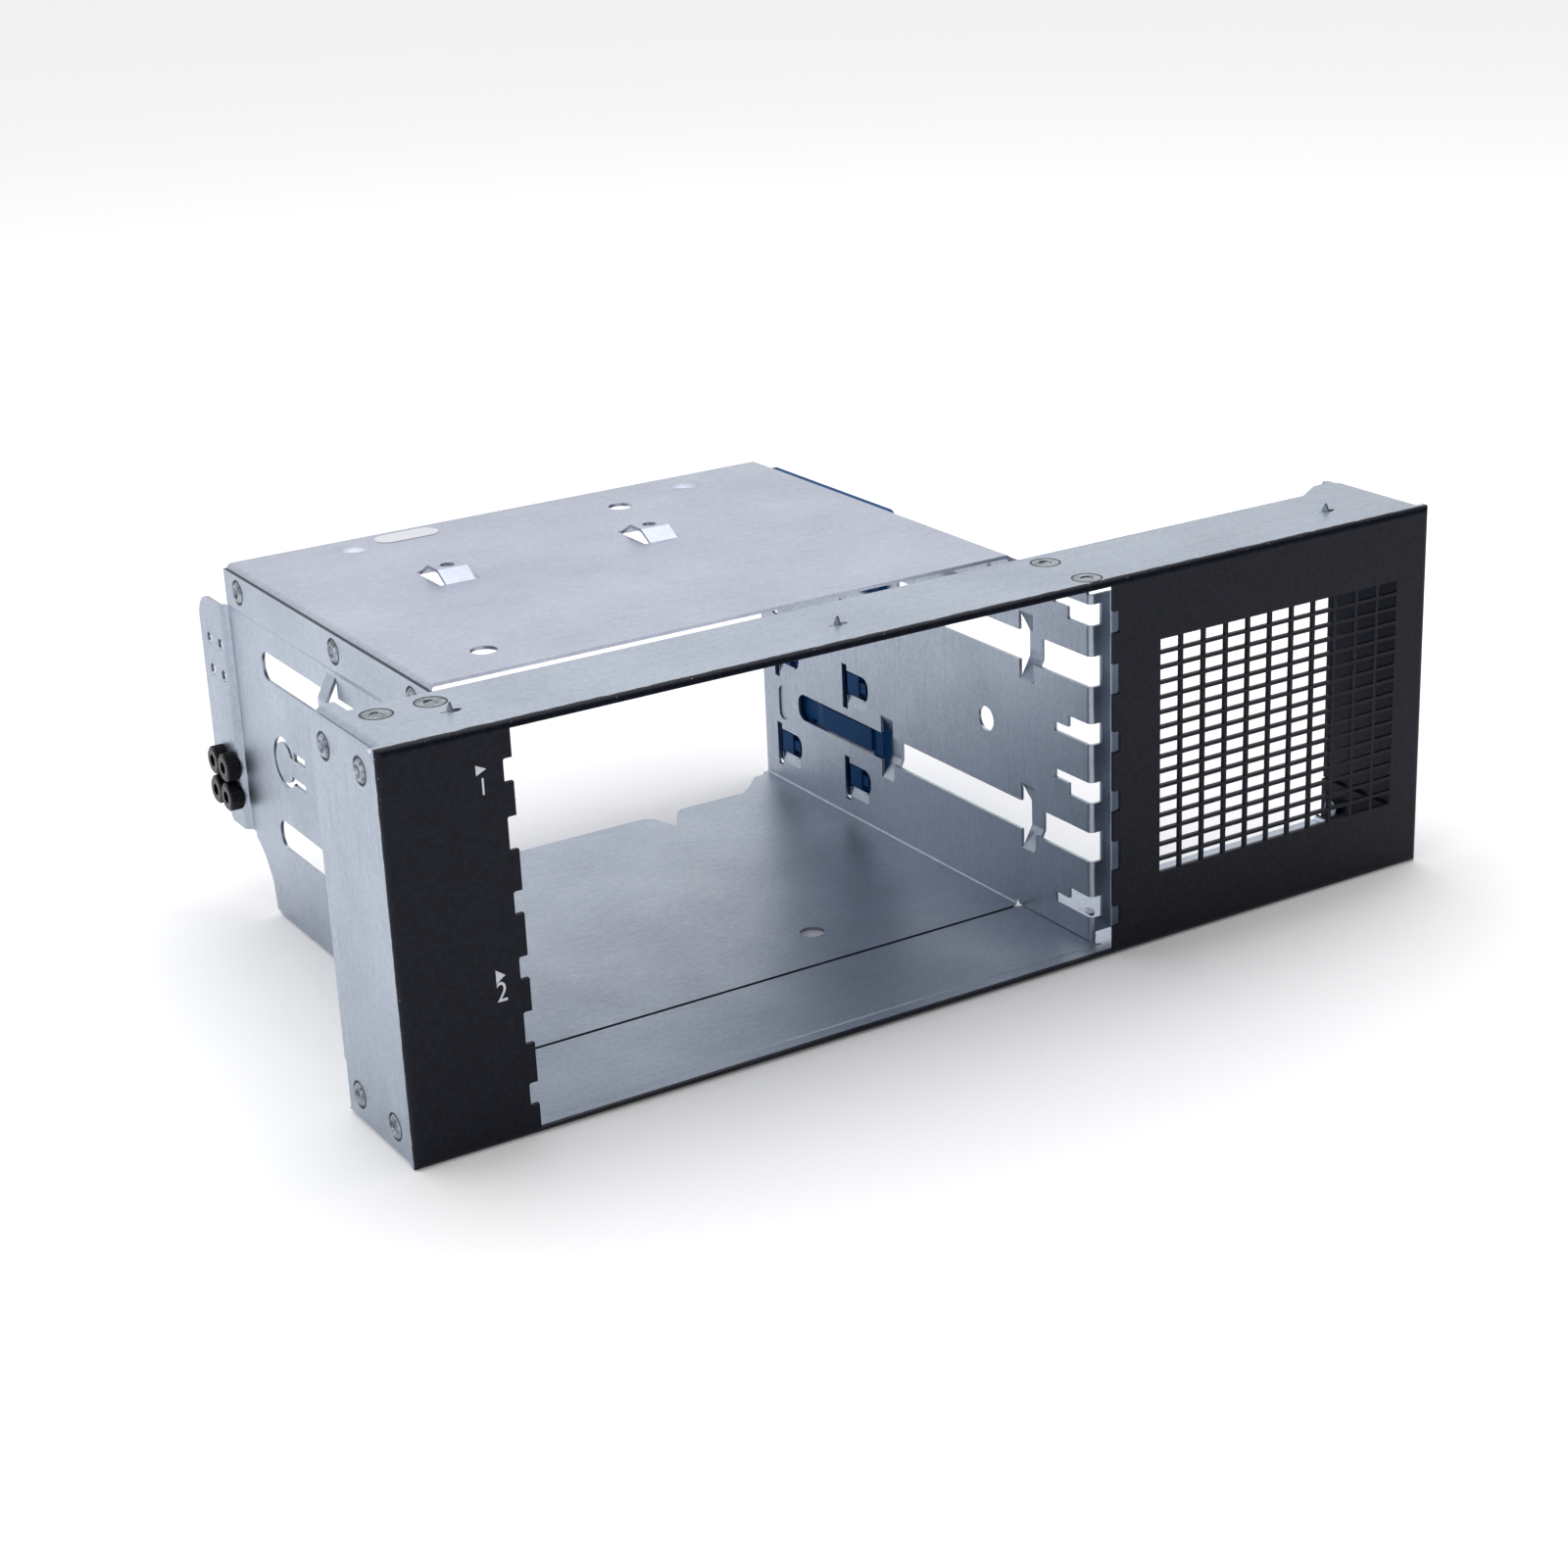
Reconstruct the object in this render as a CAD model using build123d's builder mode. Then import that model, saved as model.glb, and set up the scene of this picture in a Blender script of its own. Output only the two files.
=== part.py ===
from build123d import *
import os
from math import asin, atan2, cos, degrees, sin

os.makedirs("parts", exist_ok=True)

# A two-bay media drive cage for a rack server, in millimetres.
# The front faces -Y, the bays are open to the front and the rear, and +Z is up.
# The origin is the bottom centre of the whole part.

# Driving dimensions of the front frame, one folded steel sheet
frame_width = 271.8
frame_height = 90.85
frame_sheet = 1.0
frame_bend = 1.6
side_flange_depth = 33.5
top_flange_depth = 26.0
top_ear_depth = 32.8
bottom_flange_depth = 34.6
flange_corner_radius = 2.0
corner_tab_height = 12.5
corner_tab_bend = 2.2
corner_relief = 2.6
seam = 0.1
flange_edge_gap = 0.85
top_ear_left = 5.5
top_ear_right = ((16.7, 26.0), (9.3, 30.8), (4.5, 31.6))
opening_left = 28.45
opening_rim = 1.5
opening_beyond = 0.35

# Small forms pressed into the front frame: teeth, bumps and the crease of the fold
lance_places = ((22.0, 12.7), (112.5, 11.4), (250.2, 12.2))
lance_length = 4.8
lance_width = 2.4
lance_slit = 0.3
lance_taper = 2.6
tooth_sheet = 0.5
tooth_height = 1.9
bump_places = ((256.5, 20.6), (235.5, 9.0))
bump_radius = 4.0
bump_height = 0.4
crease_depth = 5.5
crease_radius = 0.9
crease_rise = 0.2
cutter_margin = 1.0
cutter_overrun = 0.4

# Driving dimensions of the two half-height bays
bay_width = 146.9
bay_pitch = 42.75
lower_bay_height = 24.65

# Driving dimensions of the cage body, one U-shaped sheet
cage_sheet = 0.8
cage_bend = 1.3
cage_side_gap = 0.15
cage_depth = 152.2
cage_floor_front = 36.0
floor_rear = 141.5
corner_height = 17.6
corner_arc = ((149.0, 15.4), (146.1, 11.9))
corner_slope = ((143.9, 8.5), (142.8, 0.0))
floor_notch = ((102.4, 0.0), (105.0, -2.0), (105.9, -5.8), (106.7, -9.0), (107.6, -9.1),
               (111.4, -2.1), (113.8, 0.2))
floor_shoulder = ((15.1, 0.2), (12.0, 2.7))
floor_tail = ((6.5, 2.0), (2.4, 1.7))
joggle_below = 1.6
joggle_ramp = 1.6
joggle_run = 4.0

# The walls step outwards behind the face and turn onto its back
step_depth = 7.2
step_width = 5.9
step_drop = 5.25
step_foot = 3.4
wall_clearance = 0.15
face_tab_width = 6.5
top_tab_span = (15.0, 25.6)
bottom_tab_span = (15.0, 25.6)
top_tab_inward = 6.7
outer_tab_reach = 25.2
forward_tab_depth = 1.6
tab_stem = 10.0
bend_relief = 2.0
floor_hole = 6.0
floor_hole_place = (98.9, 52.2)
wall_hole = 6.2
wall_hole_place = (48.2, 45.1)

# Guide slots for the devices' shoulder screws, with outward bridges
slot_height = 7.3
slot_rear = 134.8
slot_radius = 3.0
slot_wrap = 2.5
notch_depth = 2.0
notch_radius = 0.5
bridge_front = 29.2
bridge_width = 4.6
bridge_pitch = 60.4
bridge_reach = 8.4
bridge_bulge = 2.8
bridge_flat = 3.2
bridge_bend = 2.4
lance_clearance = 0.5
hook_height = 5.1
hook_above = 13.4
hook_below = 15.0
hook_depth = 15.6
hook_tail_depth = 20.9
hook_tail_height = 2.3

# Top plate, a folded cover between the walls
plate_sheet = 0.8
plate_front = 38.2
plate_rear = 152.0
plate_drop = 2.75
plate_bend = 1.4
plate_flange = 8.9
strip_drop = 3.85
plate_bridge_places = ((37.9, 70.3), (91.7, 70.1))
plate_bridge_length = 14.0
plate_bridge_width = 10.3
plate_strap_width = 7.5
plate_strap_rise = 2.5
plate_strap_hole = 3.4
plate_strap_flat = 2.6
plate_hole = 6.0
plate_hole_places = ((19.4, 13.5), (98.4, 97.4))
dome_places = ((29.9, 106.6), (122.0, 105.9))
dome_radius = 4.6
dome_height = 0.9

# Rear ear on the left wall
ear_jog = 1.6
ear_start = 154.2
ear_jog_run = 1.6
ear_rear = 171.0
ear_top = 77.2
ear_bottom = 19.0
ear_root = 4.0
ear_chamfer = (7.5, 11.25)
ear_radius = 7.0
ear_hole = 3.0
ear_hole_spacing = (7.3, 8.1)
ear_hole_centre = (161.65, 62.45)
screw_spacing = (6.9, 7.7)
screw_centre = (161.3, 31.35)
screw_head = 6.9
screw_head_height = 3.2
screw_socket = 2.9
screw_shank = 2.9
screw_length = 5.0
screw_chamfer = 0.4
screw_clearance = 0.1

# Tongue in the left wall
tongue_place = (127.3, 44.6)
tongue_radius = 5.0
tongue_gap = 1.4
tongue_neck = 4.7
tongue_slots = (((13.3, 6.6), (2.3, 4.4)), ((12.3, 5.0), (-4.3, -2.4)))

# Windows of the latches in the right wall
window_places = ((100.3, 8.9), (100.3, 34.3), (133.9, 8.9), (133.9, 34.3))
window_length = 12.2
window_height = 6.6
window_radius = 2.6
window_slit_width = 2.3
window_slit_height = 12.1
ramp_height = 2.6
slit_drop = 1.2
ramp_inset = 1.2
ramp_width = 8.6
ramp_tilt = 0.7
latch_height = 39.2
latch_front = 90.5
latch_rear = 148.3
latch_plate = 1.8
latch_seat = 0.1
latch_arm_height = 5.8
latch_arm_rear = 131.0
latch_gap = 1.2
latch_catch_length = 4.2
latch_catch_height = 16.4
latch_catch_width = 3.0
latch_arm_sink = 0.2
latch_arm_root = 2.0
latch_arm_bends = ((4.0, 9.0), (3.0, 8.0))
latch_play = 0.5
hook_body = 5.2
hook_nose_sink = 0.3
latch_radius = 2.0

# Coined oval low in the right wall
coin_place = (142.5, 23.2)
coin_size = (4.5, 9.5)
coin_depth = 0.45

# Grille in the right part of the face
grille_columns = 11
grille_rows = 16
grille_pitch_x = 6.55
grille_pitch_z = 3.6
grille_hole_width = 5.7
grille_hole_height = 2.8
grille_left = 190.75
grille_bottom = 17.45

# Rivets
rivet_shank = 3.2
rivet_head = 5.4
rivet_head_height = 0.5
rivet_tail = 2.2
rivet_dimple_share = (0.35, 0.55)
rivet_crown_share = 0.75
flush_head = 6.2
flush_depth = 0.55
flush_dimple = 0.25
flush_dimple_share = (0.45, 0.5)
flush_tail = 0.5
side_rivet_depths = (9.15, 27.0)
side_rivet_inset = 6.6
plate_rivet_depths = {-1: (45.5, 87.1, 144.1), 1: (45.5, 87.1, 123.0)}
plate_rivet_drop = 4.2
rivet_clearance = 0.05
rivet_seat = 0.3
rivet_tail_width = 4.2
outer_rivet_first = 7.6
outer_rivet_pitch = 11.8
forward_rivet_depth = 4.9
label_place = (44.6, 108.0)
label_size = (16.5, 7.2)
label_thickness = 0.12

# Places that follow from the driving dimensions
left = -frame_width / 2
right = frame_width / 2
front = -ear_rear / 2
bay_heights = (lower_bay_height, lower_bay_height + bay_pitch)
wall_left = left + opening_left + cage_side_gap
bay_left = wall_left + cage_sheet
bay_right = bay_left + bay_width
wall_right = bay_right + cage_sheet
opening_right = wall_right + opening_beyond
tab_top = frame_height - frame_sheet
wall_foot = frame_sheet + wall_clearance
step_height = frame_height - step_drop
strip_top = frame_height - strip_drop
plate_top = frame_height - plate_drop
plate_flange_bottom = plate_top - plate_flange
joggle_height = plate_flange_bottom - joggle_below
plate_rivet_height = strip_top - plate_rivet_drop
flush_angle = 2 * degrees(atan2((flush_head - rivet_shank) / 2, flush_depth))
face_back = front + frame_sheet
tab_rivet_depth = (top_tab_span[0] + top_tab_span[1]) / 2
outer_rivets_left = (wall_left - outer_rivet_first, wall_left - outer_rivet_first - outer_rivet_pitch)
outer_rivets_right = (wall_right + outer_rivet_first, wall_right + outer_rivet_first + outer_rivet_pitch)
inward_rivet = bay_right - top_tab_inward / 2 + cage_sheet
top_rivet_places = [(x, front + tab_rivet_depth) for x in outer_rivets_left]
top_rivet_places += [(inward_rivet, front + tab_rivet_depth), (inward_rivet, front + forward_rivet_depth)]
bottom_rivet_places = [(x, front + tab_rivet_depth) for x in outer_rivets_left + outer_rivets_right]
side_rivet_places = [(front + depth, height) for depth in side_rivet_depths
                     for height in (side_rivet_inset, frame_height - side_rivet_inset)]
plate_rivet_places = {side: [(front + depth, plate_rivet_height) for depth in depths]
                      for side, depths in plate_rivet_depths.items()}
sides = ((-1, left, wall_left, bay_left), (1, right, wall_right, bay_right))


def folded(points, bend, thickness, side=Side.LEFT):
    """A folded sheet's section: one face's line, rounded at its bends, with the sheet on one side."""
    with BuildLine() as line:
        FilletPolyline(*points, radius=bend)
        offset(amount=thickness, side=side)
    make_face(line.edges())


def folded_middle(points, bend, thickness):
    """A folded sheet's section, from its middle line, for a sheet that turns both ways."""
    with BuildLine() as line:
        FilletPolyline(*points, radius=bend - thickness / 2)
    trace(line.line, line_width=thickness)


def box(x, y, z, mode=Mode.ADD):
    """A block between two limits along each axis."""
    with Locations(((x[0] + x[1]) / 2, (y[0] + y[1]) / 2, (z[0] + z[1]) / 2)):
        Box(abs(x[1] - x[0]), abs(y[1] - y[0]), abs(z[1] - z[0]), mode=mode)


def cap(x, y, z, radius, height, mode=Mode.ADD):
    """A low dome that stands on a level sheet."""
    sphere = (radius ** 2 + height ** 2) / (2 * height)
    half_angle = asin(radius / sphere) / 2
    middle = (x + sphere * sin(half_angle), z + height - sphere + sphere * cos(half_angle))
    with BuildSketch(Plane.XZ.offset(-y)) as profile:
        with BuildLine():
            ThreePointArc((x + radius, z), middle, (x, z + height))
            Polyline((x, z + height), (x, z), (x + radius, z))
        make_face()
    revolve(profile.sketch, axis=Axis((x, y, z), (0, 0, 1)), mode=mode)


def span(first, second):
    """The middle and the length between two limits."""
    return (first + second) / 2, abs(second - first)


def window(y, z, radius=0.0):
    """A rectangle on a side view, between limits measured from the face and from the base."""
    (y_mid, y_long), (z_mid, z_long) = span(*y), span(*z)
    with Locations((front + y_mid, z_mid)):
        if radius:
            RectangleRounded(y_long, z_long, radius)
        else:
            Rectangle(y_long, z_long)


def latch_windows():
    """The openings that the latches' hooks reach through, on a side view, for both bays."""
    for base in (0, bay_pitch):
        for depth, height in window_places:
            window((depth, depth + window_length), (base + height, base + height + window_height),
                   window_radius)
            slit_middle = base + height + window_height / 2 - slit_drop
            window((depth + window_length - window_slit_width, depth + window_length),
                   (slit_middle - window_slit_height / 2, slit_middle + window_slit_height / 2))


# Front frame: face, flanges and the corner tabs that are riveted inside the side flanges
with BuildPart() as front_frame:
    box((left, right), (front, front + corner_relief), (0, frame_height))
    fillet(front_frame.faces().sort_by(Axis.Y)[0].edges(), frame_bend)
    offset(amount=-frame_sheet, openings=front_frame.faces().sort_by(Axis.Y)[-1])

    # side flanges
    with BuildSketch(Plane.YZ.offset(left)) as side_flange:
        window((corner_relief, side_flange_depth), (flange_edge_gap, frame_height - flange_edge_gap))
        fillet(side_flange.vertices().group_by(Axis.Y)[-1], flange_corner_radius)
    extrude(amount=frame_sheet)
    extrude(side_flange.sketch.moved(Location((frame_width - frame_sheet, 0, 0))), amount=frame_sheet)

    # top and bottom flanges, each with a tab folded down inside the side flanges
    tab_face = frame_sheet + seam
    with BuildSketch(Plane.XZ.offset(-(front + corner_relief))):
        folded([(left + tab_face, frame_height - corner_tab_height), (left + tab_face, frame_height),
                (right - tab_face, frame_height), (right - tab_face, frame_height - corner_tab_height)],
               corner_tab_bend, frame_sheet, Side.RIGHT)
    extrude(amount=-(top_ear_depth - corner_relief))
    with BuildSketch(Plane.XZ.offset(-(front + corner_relief))):
        folded([(left + tab_face, corner_tab_height), (left + tab_face, 0),
                (right - tab_face, 0), (right - tab_face, corner_tab_height)],
               corner_tab_bend, frame_sheet)
    extrude(amount=-(bottom_flange_depth - corner_relief))
    for inner, outer in ((left + tab_face + frame_sheet, left), (right - tab_face - frame_sheet, right)):
        box((inner, outer), (front + top_ear_depth, front + bottom_flange_depth + cutter_margin),
            (frame_sheet, corner_tab_height), Mode.SUBTRACT)

    # the top flange is cut back between its two rear ears
    with BuildSketch(Plane.XY.offset(frame_height)):
        with BuildLine():
            beyond = front + top_ear_depth + cutter_margin
            Polyline((left + top_ear_left, beyond), (left + top_ear_left, front + top_flange_depth),
                     *[(right - inset, front + depth) for inset, depth in top_ear_right],
                     (right - top_ear_right[-1][0], beyond), close=True)
        make_face()
    extrude(amount=-1.5 * frame_sheet, mode=Mode.SUBTRACT)

    # small teeth lanced up from the top flange, each beside its opening, and pressed bumps
    for x, depth in lance_places:
        base = Plane.XY.offset(frame_height - frame_sheet - cutter_margin)
        middle = (left + x, front + depth)
        with BuildSketch(base):
            with BuildLine():
                ThreePointArc((middle[0], middle[1] - lance_width / 2),
                              (middle[0] + lance_length / 4, middle[1] - lance_width / lance_taper),
                              (middle[0] + lance_length / 2, middle[1]))
                ThreePointArc((middle[0] + lance_length / 2, middle[1]),
                              (middle[0] + lance_length / 4, middle[1] + lance_width / lance_taper),
                              (middle[0], middle[1] + lance_width / 2))
                Line((middle[0], middle[1] + lance_width / 2), (middle[0], middle[1] - lance_width / 2))
            make_face()
            with Locations((middle[0] - lance_length / 4, middle[1])):
                Rectangle(lance_length / 2, lance_slit)
        extrude(amount=frame_sheet + 2 * cutter_margin, mode=Mode.SUBTRACT)
        with BuildSketch(Plane.YZ.offset(middle[0] - tooth_sheet)):
            with BuildLine():
                Polyline((middle[1] - lance_width / 2, tab_top), (middle[1] + lance_width / 2, tab_top),
                         (middle[1] + lance_width / 2, frame_height), (middle[1], frame_height + tooth_height),
                         (middle[1] - lance_width / 2, frame_height), close=True)
            make_face()
        extrude(amount=tooth_sheet)
    for x, depth in bump_places:
        cap(left + x, front + depth, frame_height, bump_radius, bump_height)
        cap(left + x, front + depth, frame_height - frame_sheet, bump_radius, bump_height, Mode.SUBTRACT)

    # crease that the folding tool left along the bottom flange, under the bays
    with BuildSketch(Plane.YZ.offset(left + opening_left)) as crease:
        with Locations((front + crease_depth, frame_sheet - crease_radius + crease_rise)):
            Circle(crease_radius)
        with Locations((front + crease_depth, frame_sheet / 2)):
            Rectangle(4 * crease_radius, 2 * frame_sheet, align=(Align.CENTER, Align.MIN), mode=Mode.INTERSECT)
    extrude(amount=opening_right - left - opening_left)

    # opening of the bays, with a notch at each guide slot
    with BuildSketch(Plane.XZ.offset(-(front - cutter_margin))):
        opening_width = opening_right - (left + opening_left)
        with Locations(((left + opening_left + opening_right) / 2, frame_height / 2)):
            Rectangle(opening_width, frame_height - 2 * opening_rim)
        for height in bay_heights:
            for offset_z, tall in ((0, slot_height), (hook_above, hook_height), (-hook_below, hook_height)):
                with Locations(((left + opening_left + opening_right) / 2, height + offset_z)):
                    RectangleRounded(opening_width + 2 * notch_depth, tall, notch_radius)
    extrude(amount=-(frame_sheet + cutter_margin + cutter_overrun), mode=Mode.SUBTRACT)

    # grille
    grille_width = (grille_columns - 1) * grille_pitch_x
    grille_tall = (grille_rows - 1) * grille_pitch_z
    with BuildSketch(Plane.XZ.offset(-(front - cutter_margin))):
        with Locations((left + grille_left + (grille_width + grille_hole_width) / 2,
                        grille_bottom + (grille_tall + grille_hole_height) / 2)):
            with GridLocations(grille_pitch_x, grille_pitch_z, grille_columns, grille_rows):
                Rectangle(grille_hole_width, grille_hole_height)
    extrude(amount=-(frame_sheet + cutter_margin + cutter_overrun), mode=Mode.SUBTRACT)

    # rivet holes: countersunk in the top and bottom flanges, spot-faced in the side flanges
    with Locations(*[Plane((x, y, frame_height), z_dir=(0, 0, 1)) for x, y in top_rivet_places],
                   *[Plane((x, y, 0), z_dir=(0, 0, -1)) for x, y in bottom_rivet_places]):
        CounterSinkHole(rivet_shank / 2 + rivet_clearance, flush_head / 2 + rivet_clearance,
                        2 * frame_sheet, counter_sink_angle=flush_angle)
    for side, flange_face, _, _ in sides:
        with Locations(*[Plane((flange_face, y, z), z_dir=(side, 0, 0)) for y, z in side_rivet_places]):
            CounterBoreHole(rivet_shank / 2 + rivet_clearance, rivet_head / 2 + rivet_seat, rivet_seat,
                            3 * frame_sheet)

# Rear ear: a rounded lug that jogs outwards from the left wall and carries the spare screws
with BuildPart() as rear_ear:
    wall_middle = wall_left + cage_sheet / 2
    with BuildSketch(Plane.XY.offset(ear_bottom)):
        folded_middle([(wall_middle, front + cage_depth - ear_root), (wall_middle, front + ear_start),
                       (wall_middle - ear_jog, front + ear_start + ear_jog_run),
                       (wall_middle - ear_jog, front + ear_rear)], ear_jog, cage_sheet)
    extrude(amount=ear_top - ear_bottom)
    with BuildSketch(Plane.YZ.offset(wall_left - 2 * ear_jog)) as ear_outline:
        with BuildLine():
            Polyline((front + cage_depth - ear_root, ear_bottom),
                     (front + ear_rear - ear_chamfer[0], ear_bottom),
                     (front + ear_rear, ear_bottom + ear_chamfer[1]), (front + ear_rear, ear_top),
                     (front + cage_depth - ear_root, ear_top), close=True)
        make_face()
        fillet(ear_outline.vertices().group_by(Axis.X)[-1], ear_radius)
        for spacing, centre, hole in ((ear_hole_spacing, ear_hole_centre, ear_hole),
                                      (screw_spacing, screw_centre, screw_shank + 2 * screw_clearance)):
            with Locations((front + centre[0], centre[1])):
                with GridLocations(*spacing, 2, 2):
                    Circle(hole / 2, mode=Mode.SUBTRACT)
    extrude(amount=4 * ear_jog, mode=Mode.INTERSECT)

# Cage body: left wall, floor and right wall
with BuildPart() as cage_body:
    joggle = cage_sheet
    ramp_low = joggle_height - joggle_ramp / 2
    ramp_high = joggle_height + joggle_ramp / 2
    with BuildSketch(Plane.XZ.offset(-(front + cage_floor_front))):
        folded([(wall_left - joggle, strip_top), (wall_left - joggle, ramp_high), (wall_left, ramp_low),
                (wall_left, 0), (wall_right, 0), (wall_right, ramp_low),
                (wall_right + joggle, ramp_high), (wall_right + joggle, strip_top)],
               cage_bend, cage_sheet)
    extrude(amount=-(cage_depth - cage_floor_front))

    for side, bay_face in ((-1, bay_left), (1, bay_right)):
        wall_middle = bay_face + side * cage_sheet / 2
        flange_middle = wall_middle + side * step_width
        step_middle = front + step_depth + cage_sheet / 2
        tab_middle = face_back + cage_sheet / 2
        strip_start = cage_floor_front - joggle_run

        # front part of the wall, its step and its tab on the back of the face
        with BuildSketch(Plane.XY.offset(wall_foot)):
            folded_middle([(wall_middle, front + strip_start), (wall_middle, step_middle),
                           (flange_middle, step_middle), (flange_middle, tab_middle),
                           (flange_middle + side * face_tab_width, tab_middle)], cage_bend, cage_sheet)
        extrude(amount=step_height - wall_foot)
        box((bay_face + side * cage_bend, flange_middle + side * (face_tab_width + cutter_margin)),
            (face_back, front + step_depth + cage_bend), (wall_foot, step_foot), Mode.SUBTRACT)
        box((bay_face, bay_face + side * cage_sheet), (front + step_depth + cage_bend, front + strip_start),
            (joggle_height, strip_top))

        # the wall runs back to the floor, and its upper strip moves out by one sheet to lap the cover
        box((bay_face, bay_face + side * cage_sheet), (front + strip_start, front + cage_floor_front),
            (wall_foot, joggle_height))
        with BuildSketch(Plane.XY.offset(joggle_height)):
            with BuildLine():
                Polyline((bay_face, front + strip_start), (bay_face + side * cage_sheet, front + strip_start),
                         (bay_face + 2 * side * cage_sheet, front + cage_floor_front),
                         (bay_face + side * cage_sheet, front + cage_floor_front), close=True)
            make_face()
        extrude(amount=strip_top - joggle_height)

        # tab to the left under the frame's top flange, and outward tab on its bottom flange
        tab_rows = ((top_tab_span, tab_top - cage_sheet / 2, tab_top - tab_stem, -1),
                    (bottom_tab_span, frame_sheet + cage_sheet / 2, frame_sheet + tab_stem, side))
        for depths, tab_height, stem_end, way in tab_rows:
            reach = top_tab_inward if way != side else outer_tab_reach
            with BuildSketch(Plane.XZ.offset(-(front + depths[0]))):
                folded_middle([(wall_middle, stem_end), (wall_middle, tab_height),
                               (wall_middle + way * reach, tab_height)], cage_bend, cage_sheet)
            extrude(amount=-(depths[1] - depths[0]))

    # the right top tab reaches forward to a second rivet
    box((bay_right - top_tab_inward + cage_sheet / 2, bay_right - cage_bend),
        (front + forward_tab_depth, front + top_tab_span[0]),
        (tab_top - cage_sheet, tab_top))

    # lower rear corner of the left wall, swept forward under the ear
    with BuildSketch(Plane.YZ.offset(wall_left - cage_sheet / 2)):
        with BuildLine():
            swept = [(front + depth, height) for depth, height in corner_arc]
            ThreePointArc((front + cage_depth, corner_height), *swept)
            Polyline(swept[-1], *[(front + depth, height) for depth, height in corner_slope],
                     (front + cage_depth, 0), (front + cage_depth, corner_height))
        make_face()
    extrude(amount=2 * cage_sheet, mode=Mode.SUBTRACT)

    # rear edge of the floor, with its relief notch
    with BuildSketch(Plane.XY):
        with BuildLine():
            beyond = front + cage_depth + cutter_margin
            Polyline((wall_left - cutter_margin, front + floor_rear),
                     *[(wall_left + x, front + floor_rear + y) for x, y in floor_notch],
                     *[(wall_right - inset, front + floor_rear + y) for inset, y in floor_shoulder],
                     *[(wall_right - inset, front + cage_depth - back) for inset, back in floor_tail],
                     (wall_right - floor_tail[-1][0], beyond), (wall_left - cutter_margin, beyond), close=True)
        make_face()
    extrude(amount=cage_bend, mode=Mode.SUBTRACT)
    with Locations((wall_left + floor_hole_place[0], front + floor_hole_place[1], cage_sheet)):
        Cylinder(floor_hole / 2, 4 * cage_sheet, mode=Mode.SUBTRACT)

    # bend reliefs at the floor's front corners
    for side, wall_face in ((-1, wall_left), (1, wall_right)):
        with Locations(Location((wall_face - side * cage_bend / 2, front + cage_floor_front + cage_sheet / 2,
                                 cage_bend / 2), (0, side * 45, 0))):
            Cylinder(bend_relief / 2, 4 * cage_sheet, mode=Mode.SUBTRACT)

    # slots of both walls: guide slot, hook slots and the openings that the bridges are lanced from
    for side, bay_face in ((-1, bay_left), (1, bay_right)):
        wrap = cage_sheet + slot_wrap
        with BuildSketch(Plane.YZ.offset(bay_face - side * cutter_margin)):
            for height in bay_heights:
                window((-slot_rear, slot_rear), (height - slot_height / 2, height + slot_height / 2),
                       slot_radius)
                for offset_z, end in ((hook_above, 1), (-hook_below, -1)):
                    hook = height + offset_z
                    window((-hook_depth, hook_depth), (hook - hook_height / 2, hook + hook_height / 2),
                           notch_radius)
                    window((0, hook_tail_depth),
                           (hook + end * hook_height / 2, hook + end * (hook_height / 2 - hook_tail_height)))
        extrude(amount=side * (wrap + cutter_margin), mode=Mode.SUBTRACT)
        with BuildSketch(Plane.YZ.offset(bay_face - side * cutter_margin)):
            for height in bay_heights:
                for depth in (bridge_front, bridge_front + bridge_pitch):
                    window((depth - lance_clearance, depth + bridge_width + lance_clearance),
                           (height - bridge_reach, height + bridge_reach), notch_radius)
        extrude(amount=side * (cage_sheet + cutter_margin), mode=Mode.SUBTRACT)

        # outward bridges across the guide slots
        wall_middle = bay_face + side * cage_sheet / 2
        bridge_middle = wall_middle + side * bridge_bulge
        for height in bay_heights:
            for depth in (bridge_front, bridge_front + bridge_pitch):
                with BuildSketch(Plane.XZ.offset(-(front + depth))):
                    folded_middle([(wall_middle, height + bridge_reach + cage_sheet),
                                   (wall_middle, height + bridge_reach), (bridge_middle, height + bridge_flat),
                                   (bridge_middle, height - bridge_flat), (wall_middle, height - bridge_reach),
                                   (wall_middle, height - bridge_reach - cage_sheet)], bridge_bend, cage_sheet)
                extrude(amount=-bridge_width)

    # windows of the latches in the right wall, each with a lead-in ramp below it
    with BuildSketch(Plane.YZ.offset(bay_right - cutter_margin)):
        latch_windows()
        with Locations((front + wall_hole_place[0], wall_hole_place[1])):
            Circle(wall_hole / 2)
    extrude(amount=cage_sheet + 2 * cutter_margin, mode=Mode.SUBTRACT)
    for base in (0, bay_pitch):
        for depth, height in window_places:
            ramp_end = base + height
            if ramp_end < ramp_low:
                ramp_front = front + depth + ramp_inset
                box((bay_right, wall_right), (ramp_front, ramp_front + ramp_width),
                    (ramp_end - ramp_height, ramp_end), Mode.SUBTRACT)
                with BuildSketch(Plane.XZ.offset(-ramp_front)):
                    with BuildLine():
                        Polyline((bay_right, ramp_end - ramp_height), (wall_right, ramp_end - ramp_height),
                                 (wall_right + ramp_tilt, ramp_end),
                                 (wall_right + ramp_tilt - cage_sheet, ramp_end), close=True)
                    make_face()
                extrude(amount=-ramp_width)

    # coined oval behind the lower windows
    with BuildSketch(Plane.YZ.offset(bay_right)):
        with Locations((front + coin_place[0], coin_place[1])):
            RectangleRounded(*coin_size, coin_size[0] / 2 - notch_radius / 2)
    extrude(amount=coin_depth, mode=Mode.SUBTRACT)

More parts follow.
